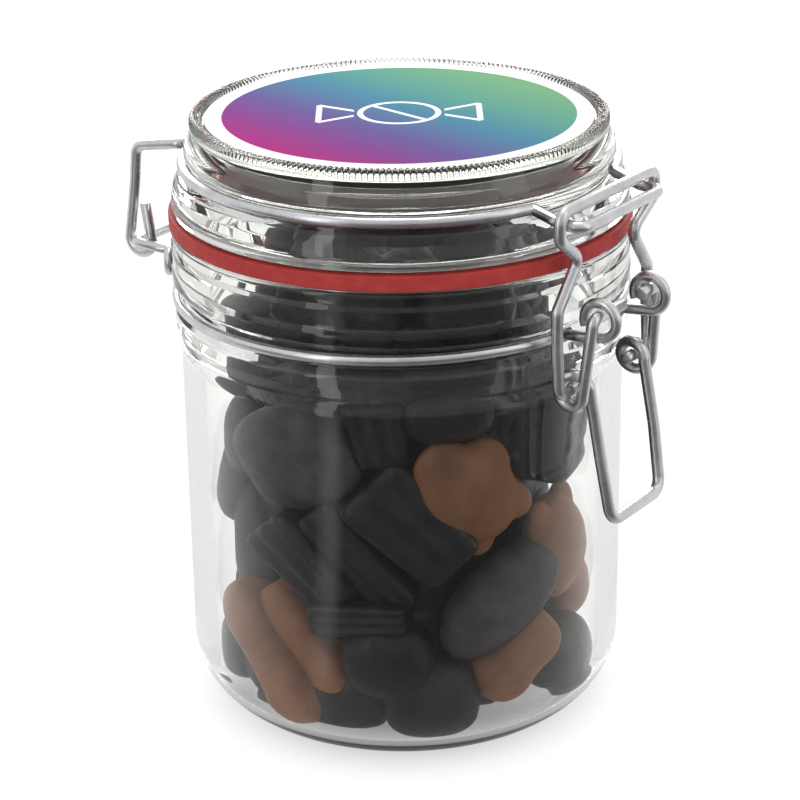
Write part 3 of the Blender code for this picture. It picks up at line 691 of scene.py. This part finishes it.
def all_sweets():
    """Every sweet as (kind, points, faces): those that show, those round the back, those on top,
    and the dark ones further in that fill the gaps."""
    shapes = {"gum_bar": bar_shape, "gum_bear": bear_shape, "oval": oval_shape,
              "round": round_shape, "brick": brick_shape, "lump": lump_shape}
    fine, coarse = sphere_grid(56, 34), sphere_grid(30, 18)
    draw = random.Random(11)
    made = []

    def add(kind, size, grid, place):
        """One more sweet on a grid, put in its place by a function of its points."""
        directions, faces = grid
        half = np.array([size[0], size[2], size[1]]) / 2
        points = shapes[kind](directions, waves(directions, 1.7 * len(made))) * half
        made.append((kind, place(points), faces))

    for kind, size, right, height, tilt, lean, inset in SHOWN_SWEETS:
        add(kind, size, fine, lambda p: seated(p, right, height, tilt, lean, inset))
    back_from, back_step, back_shift, back_low, back_rise = 118.0, 42.0, 14.0, 18.0, 23.0
    for layer, count in enumerate((4, 4, 4, 3)):
        for step in range(count):
            right = back_from + back_step * step + back_shift * (layer % 2) + draw.uniform(-3.0, 3.0)
            kind, size = draw.choice(HIDDEN_KINDS)
            up = back_low + back_rise * layer + draw.uniform(-2.5, 2.5)
            tilt = draw.uniform(-60, 60)
            add(kind, size, coarse, lambda p: seated(p, right, up, tilt, 0.0))
    for step, (kind, size) in enumerate(HIDDEN_KINDS[:5]):
        spread, up = (19.0, 94.0) if step else (0.0, 92.5)
        bearing = 90.0 * step + draw.uniform(-8, 8)
        turn = turn_about("Z", bearing) @ turn_about("X", 90 + draw.uniform(-18, 18))
        sideways, outwards = math.sin(math.radians(bearing)), math.cos(math.radians(bearing))
        centre = np.array([spread * sideways, -spread * outwards, up])
        add(kind, size, coarse, lambda p: p @ turn.T + centre)
    filler_layers, fillers, filler_size, filler_inset = 9, 11, (18, 15, 12), 8.0
    filler_low, filler_rise = 12.0, 10.0
    for layer in range(filler_layers):
        for step in range(fillers):
            right = 360.0 / fillers * (step + 0.5 * (layer % 2)) + draw.uniform(-7, 7)
            up = filler_low + filler_rise * layer + draw.uniform(-2, 2)
            tilt, lean = draw.uniform(-80, 80), draw.uniform(-20, 20)
            kind = draw.choice(("round", "round", "brick", "brick"))
            add(kind, filler_size, coarse, lambda p: seated(p, right, up, tilt, lean, filler_inset))
    return made


def core_shape(directions):
    """The core, an upright cylinder with rounded ends: directions divided by the ninth root of the
    ninth powers of their height and their reach, with shallow waves."""
    half_height, radius, middle_up = 42.0, 28.6, 50.5
    reach = np.hypot(directions[:, 1], directions[:, 2])[:, None]
    round_off = (np.abs(directions[:, :1]) ** 9 + reach ** 9) ** (1 / 9)
    core = directions / round_off * (half_height, radius, radius)
    swell = 1 + 0.02 * np.sin(0.5 * core[:, :1]) * np.sin(0.4 * core[:, 2:] + 1)
    return core[:, [2, 1, 0]] * swell + (0, 0, middle_up)


def liquorice_finish(name, dark, light, gloss):
    """Cast liquorice: nearly black, with a patchy bloom and fine pores."""
    made = Finish(name, Roughness=gloss, Specular_IOR_Level=0.45)
    made.feed("Base Color", made.mix(made.vary(160.0, detail=5.0), dark, light))
    made.feed("Roughness", made.vary(420.0, gloss - 0.08, gloss + 0.14))
    made.bump(made.vary(900.0, detail=6.0), 0.00014, 0.6)
    return made.material


dark_liquorice = liquorice_finish("liquorice", (0.012, 0.010, 0.011), (0.036, 0.029, 0.031), 0.40)
dull_liquorice = liquorice_finish("dull_liquorice", (0.075, 0.066, 0.070), (0.150, 0.136, 0.142), 0.50)
gum = Finish("fruit_gum", Roughness=0.40, Specular_IOR_Level=0.4, Subsurface_Weight=0.55,
             Subsurface_Scale=0.006)
gum.shader.inputs["Subsurface Radius"].default_value = (1.0, 0.38, 0.14)
# Painted glow: the gum's edges, where its surface turns away from the view, are mixed towards orange to
# stand in for light shining through them.
edge_glow = gum.node("ShaderNodeLayerWeight", Blend=0.35)
gum_skin = gum.mix(gum.vary(140.0, detail=4.0), (0.33, 0.150, 0.085), (0.50, 0.250, 0.150))
gum.feed("Base Color", gum.mix(edge_glow.outputs["Facing"], gum_skin, (0.56, 0.21, 0.055)))
gum.feed("Roughness", gum.vary(380.0, 0.34, 0.52))
gum.bump(gum.vary(700.0, detail=5.0), 0.0001, 0.5)

sweets = all_sweets()
sweet_looks = {"gum_bar": gum.material, "gum_bear": gum.material, "oval": dull_liquorice,
               "round": dark_liquorice, "brick": dark_liquorice, "lump": dull_liquorice}
for kind, look in sweet_looks.items():
    own = [(points, faces) for made, points, faces in sweets if made == kind]
    before = np.cumsum([0] + [len(points) for points, _ in own])
    faces = np.vstack([own_faces + first for (_, own_faces), first in zip(own, before)])
    points = np.vstack([own_points for own_points, _ in own])
    item = mesh_object(f"sweets_{kind}", points * MM, faces, look)
    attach(item, "vessel")
    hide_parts("candy_heap")

core_directions, core_faces = sphere_grid(96, 64)
core_item = mesh_object("sweets_core", core_shape(core_directions) * MM, core_faces, dark_liquorice)
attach(core_item, "vessel")
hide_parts("candy_heap")

# Studio
# A white table and white surroundings with soft lights, as for a shop picture. The table is no lamp
# but glows: brightly where it is seen directly or through the glass, behind the jar, and for the
# light that falls on the sweets. In front it has two glowing strips that the glass reflects as
# painted highlights, and close under the jar a painted shadow darkens it. The surroundings are
# dimmer on the camera's side.
AWAY, RIGHT = (0.8117, 0.5841, 0.0), (0.5841, -0.8117, 0.0)
LIT, BEHIND, SHADOW_UNDER_JAR, LEAST_GLOW, GLOW = 0.7, 0.74, 0.32, 0.03, 0.93
table = Finish("white_table", Base_Color=(0.06, 0.06, 0.06, 1), Roughness=0.85)
table.feed("Roughness", table.vary(20.0, 0.8, 0.9))
table_place = table.node("ShaderNodeTexCoord").outputs["Object"]


def on_table(operation, direction=(0.0, 0.0, 0.0)):
    """How far a point of the table lies along a direction, by DOT_PRODUCT, or from the middle of
    the jar's foot, by LENGTH."""
    made = table.nodes.new("ShaderNodeVectorMath")
    made.operation = operation
    made.inputs[1].default_value = direction
    table.links.new(table_place, made.inputs[0])
    return made.outputs["Value"]


# The table glows like a lamp: fully for camera rays and rays straight through the glass, less for light
# falling on the sweets and behind the jar, and dim in reflections.
ray = table.node("ShaderNodeLightPath")
bounces = table.math("ADD", ray.outputs["Glossy Depth"], ray.outputs["Diffuse Depth"])
unbounced = table.math("LESS_THAN", bounces, 0.5)
through = table.math("MULTIPLY", ray.outputs["Is Transmission Ray"], unbounced)
bright = table.math("MAXIMUM", ray.outputs["Is Camera Ray"], through)
bright = table.math("MAXIMUM", bright, table.math("MULTIPLY", ray.outputs["Is Diffuse Ray"], LIT))
glow_behind = table.rise(on_table("DOT_PRODUCT", AWAY), -0.10, 0.02, curve="SMOOTHSTEP")
bright = table.math("MAXIMUM", bright, table.math("MULTIPLY", glow_behind, BEHIND))

# Each glowing strip, which the glass reflects as a painted highlight, runs outwards from the jar
# along a bearing from +X, and fades at its sides from narrow to wide, which are shares of the
# distance.
for bearing, narrow, wide, glow in ((180.7, 0.05, 0.11, 0.46), (281.7, 0.07, 0.20, 0.26)):
    east, north = math.cos(math.radians(bearing)), math.sin(math.radians(bearing))
    outward = table.math("MAXIMUM", on_table("DOT_PRODUCT", (east, north, 0.0)), 0.0001)
    sideways = table.math("ABSOLUTE", on_table("DOT_PRODUCT", (-north, east, 0.0)))
    aside = table.math("DIVIDE", sideways, outward)
    glow_strip = table.rise(aside, narrow, wide, glow, 0.0, "SMOOTHSTEP")
    bright = table.math("MAXIMUM", bright, glow_strip)
# Painted shadow: the table's glow fades to about a third close under the jar.
painted_shadow = table.rise(on_table("LENGTH"), 0.020, 0.046, SHADOW_UNDER_JAR, 1.0, "SMOOTHSTEP")
bright = table.math("MULTIPLY", bright, painted_shadow)
table.shader.inputs["Emission Color"].default_value = (1, 1, 1, 1)
table.feed("Emission Strength", table.math("MULTIPLY_ADD", bright, GLOW, LEAST_GLOW))
table.material.cycles.emission_sampling = "NONE"
TABLE_HALF, TABLE_UP = 6.0, -0.0001
table_corners = [(x, y, TABLE_UP) for x, y in ((-TABLE_HALF, -TABLE_HALF), (TABLE_HALF, -TABLE_HALF),
                                               (TABLE_HALF, TABLE_HALF), (-TABLE_HALF, TABLE_HALF))]
table_mesh = bpy.data.meshes.new("table")
table_mesh.from_pydata(table_corners, [], [(0, 1, 2, 3)])
table_mesh.materials.append(table.material)
floor = bpy.data.objects.new("table", table_mesh)
bpy.context.scene.collection.objects.link(floor)


def put_in_place(name, data, axes, place):
    """A camera or light with its three axes turned as given, at a place."""
    pose = np.eye(4)
    pose[:3, :3], pose[:3, 3] = np.transpose(axes), place
    item = bpy.data.objects.new(name, data)
    item.matrix_world = Matrix(pose.tolist())
    bpy.context.scene.collection.objects.link(item)
    return item


def soft_light(name, place, target, size, power):
    """A rectangular soft light at a place, turned to a target."""
    data = bpy.data.lights.new(name, "AREA")
    data.shape = "RECTANGLE"
    data.size, data.size_y = size
    data.energy = power
    back = np.array(place, float) - target
    back /= np.linalg.norm(back)
    east = np.cross((0, 0, 1), back)
    east /= np.linalg.norm(east)
    put_in_place(name, data, (east, np.cross(back, east), back), place)


CAMERA_AT, PITCH, ROLL = (-0.3725, -0.2673, 0.24655), math.radians(22.08), math.radians(-0.80)
away, right, straight_up = np.array([AWAY, RIGHT, (0.0, 0.0, 1.0)])
forward = away * math.cos(PITCH) - straight_up * math.sin(PITCH)
above = away * math.sin(PITCH) + straight_up * math.cos(PITCH)
rolled_right = right * math.cos(ROLL) + above * math.sin(ROLL)
rolled_up = above * math.cos(ROLL) - right * math.sin(ROLL)
camera_data = bpy.data.cameras.new("camera")
camera_data.lens = 112.5
camera_data.sensor_width = 36.0
camera_data.clip_start = 0.01
camera = put_in_place("camera", camera_data, (rolled_right, rolled_up, -forward), CAMERA_AT)
bpy.context.scene.camera = camera

soft_light("soft_top", (0.10, 0.08, 0.8), (0, 0, 0.08), (0.20, 0.20), 1.9)
soft_light("soft_back", (0.62, 0.44, 0.36), (0, 0, 0.10), (0.9, 0.16), 4.2)
soft_light("soft_left", (-0.28, 0.02, 0.16), (0, 0, 0.09), (0.05, 0.34), 0.10)
soft_light("soft_right", (0.02, -0.32, 0.22), (0, 0, 0.09), (0.10, 0.46), 0.10)

world = bpy.data.worlds.new("surroundings")
bpy.context.scene.world = world
world.use_nodes = True
shade = world.node_tree
backdrop = shade.nodes["Background"]
sky_place = shade.nodes.new("ShaderNodeTexCoord")
facing_away = shade.nodes.new("ShaderNodeVectorMath")
facing_away.operation = "DOT_PRODUCT"
facing_away.inputs[1].default_value = (*AWAY[:2], 0.25)
shine = shade.nodes.new("ShaderNodeMapRange")
shine.interpolation_type = "SMOOTHSTEP"
for label, value in (("From Min", -0.75), ("From Max", 0.0), ("To Min", 0.50), ("To Max", 0.75)):
    shine.inputs[label].default_value = value
shade.links.new(sky_place.outputs["Generated"], facing_away.inputs[0])
shade.links.new(facing_away.outputs["Value"], shine.inputs["Value"])
shade.links.new(shine.outputs["Result"], backdrop.inputs["Strength"])
backdrop.inputs["Color"].default_value = (1, 1, 1, 1)
bpy.context.scene.view_settings.view_transform = "Standard"
